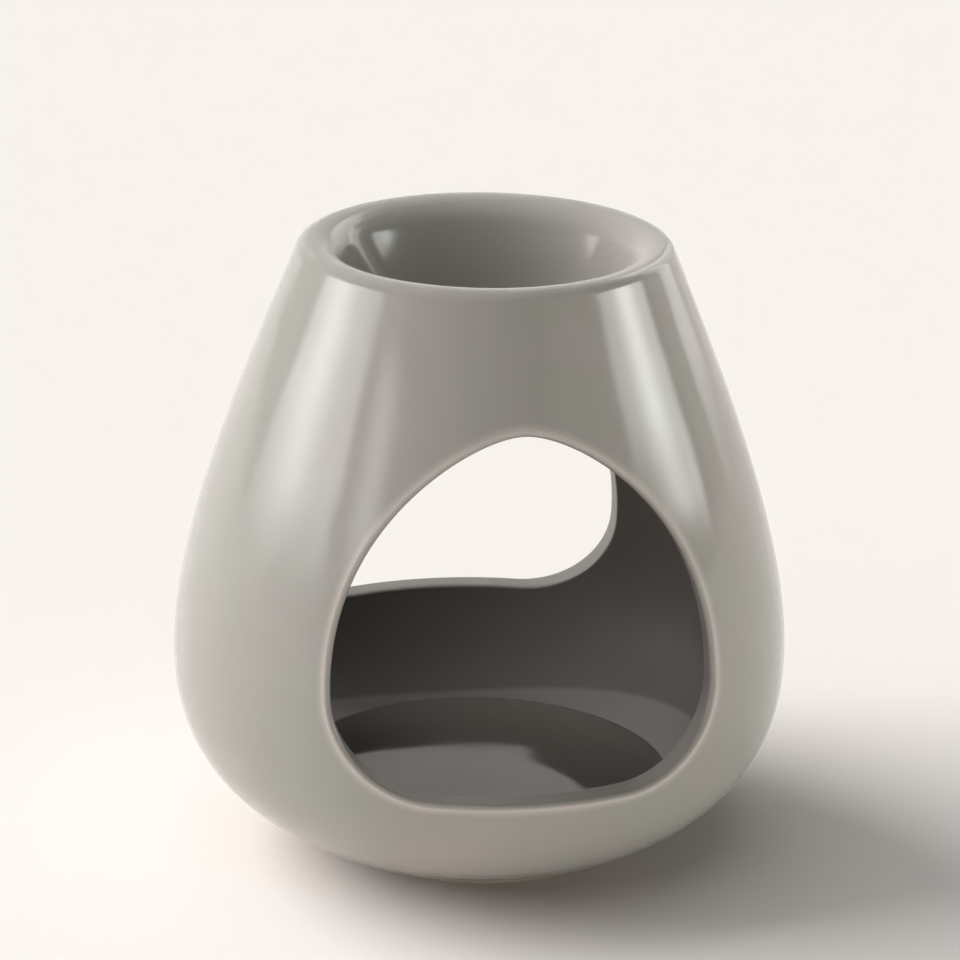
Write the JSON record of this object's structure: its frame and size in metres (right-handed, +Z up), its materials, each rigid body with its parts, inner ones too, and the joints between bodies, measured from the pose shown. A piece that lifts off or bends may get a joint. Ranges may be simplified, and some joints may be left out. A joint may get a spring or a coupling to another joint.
{
  "type": "essential oil burner",
  "caption": "Rounded glazed ceramic oil burner with arched openings front and back, a flat candle floor inside and an oil bowl with a rolled lip on top.",
  "frame": {"origin": "centre of the footprint, on the table", "axes": "+Z up, the front opening faces -Y and the back opening +Y, +X to the right seen from the front"},
  "size_m": [0.105, 0.103, 0.1059],
  "materials": {
    "glaze": "glossy warm grey glaze, thin and paler over the cut edges",
    "bowl_glaze": "glossy warm grey glaze, paler on the lip",
    "chamber_glaze": "glossy warm grey glaze, pooled and even on the floor",
    "wiped_foot": "glaze that stops short of the table, bare fired clay where the foot stands"
  },
  "bodies": {
    "root": {"body_shell": "glaze", "oil_bowl": "bowl_glaze", "floor_disc": "chamber_glaze", "foot_ring": "wiped_foot"}
  },
  "joints": []
}
